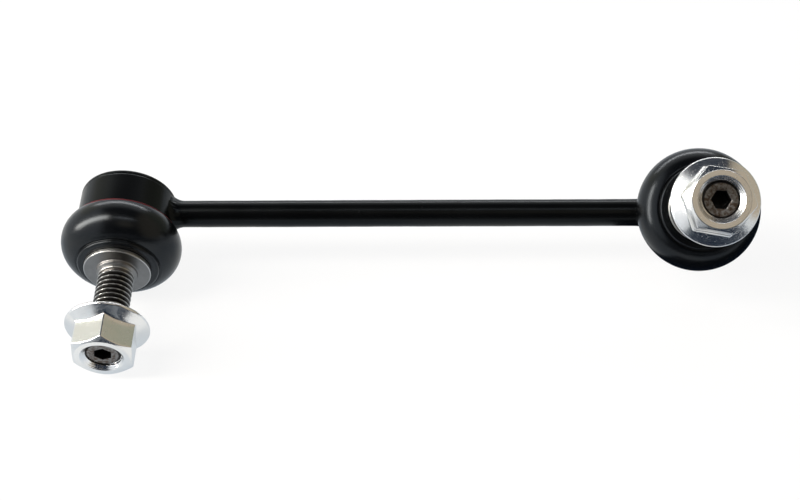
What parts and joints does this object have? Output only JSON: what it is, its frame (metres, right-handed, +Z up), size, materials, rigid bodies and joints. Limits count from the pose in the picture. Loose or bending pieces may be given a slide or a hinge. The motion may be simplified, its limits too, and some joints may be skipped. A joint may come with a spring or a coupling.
{
  "type": "stabilizer link",
  "caption": "Stabilizer link: a painted round bar with a booted ball joint, a threaded stud and a flange nut at each end.",
  "frame": {"origin": "middle of the left stud's collar seat", "axes": "+X along the bar from the left end to the right end, +Z up with the link laid down on its left boot and left nut, the studs towards -Y"},
  "size_m": [0.1936, 0.0629, 0.0584],
  "materials": {
    "black_paint": "satin gloss black paint",
    "bearing_plastic": "smooth moulded",
    "boot_rubber": "satin moulded rubber",
    "red_ring": "dark red coating",
    "ring_steel": "plain steel",
    "stud_steel": "dark phosphated steel",
    "bright_zinc": "bright zinc plate"
  },
  "bodies": {
    "link": {"bar": "black_paint", "weld_left": "black_paint", "weld_right": "black_paint", "housing_left": "black_paint", "housing_right": "black_paint", "cap_left": "black_paint", "cap_right": "black_paint", "bearing_left": "bearing_plastic", "bearing_right": "bearing_plastic", "boot_ring_left": "red_ring", "boot_ring_right": "red_ring"},
    "left_boot": {"boot_left": "boot_rubber"},
    "left_lip": {"lip_ring_left": "ring_steel"},
    "left_stud": {"stud_left": "stud_steel"},
    "left_nut": {"nut_left": "bright_zinc"},
    "right_boot": {"boot_right": "boot_rubber"},
    "right_lip": {"lip_ring_right": "ring_steel"},
    "right_stud": {"stud_right": "stud_steel"},
    "right_nut": {"nut_right": "bright_zinc"}
  },
  "joints": [
    {"name": "left_swing_round_bar", "type": "hinge", "parent": "link", "child": "left_boot", "pos_m": [0, 0.01434, 0.00276], "axis": [1, 0, 0], "range_deg": [-17, 17], "deforming": ["boot_left"]},
    {"name": "left_swing_along_bar", "type": "hinge", "parent": "left_boot", "child": "left_lip", "pos_m": [0, 0.01434, 0.00276], "axis": [0, -0.1893, 0.9819], "range_deg": [-17, 17], "deforming": ["boot_left"]},
    {"name": "left_stud_turn", "type": "hinge", "parent": "left_lip", "child": "left_stud", "pos_m": [0, 0.01434, 0.00276], "axis": [0, -0.9819, -0.1893], "continuous": true},
    {"name": "left_nut_off", "type": "slide", "parent": "left_stud", "child": "left_nut", "axis": [0, -0.9819, -0.1893], "range_m": [-0.016, 0.04]},
    {"name": "right_swing_round_bar", "type": "hinge", "parent": "link", "child": "right_boot", "pos_m": [0.16, 0.0159, 0.00817], "axis": [1, 0, 0], "range_deg": [-17, 17], "deforming": ["boot_right"]},
    {"name": "right_swing_along_bar", "type": "hinge", "parent": "right_boot", "child": "right_lip", "pos_m": [0.16, 0.0159, 0.00817], "axis": [0, -0.6831, -0.7303], "range_deg": [-17, 17], "deforming": ["boot_right"]},
    {"name": "right_stud_turn", "type": "hinge", "parent": "right_lip", "child": "right_stud", "pos_m": [0.16, 0.0159, 0.00817], "axis": [0, -0.7303, 0.6831], "continuous": true},
    {"name": "right_nut_off", "type": "slide", "parent": "right_stud", "child": "right_nut", "axis": [0, -0.7303, 0.6831], "range_m": [-0.016, 0.04]}
  ]
}
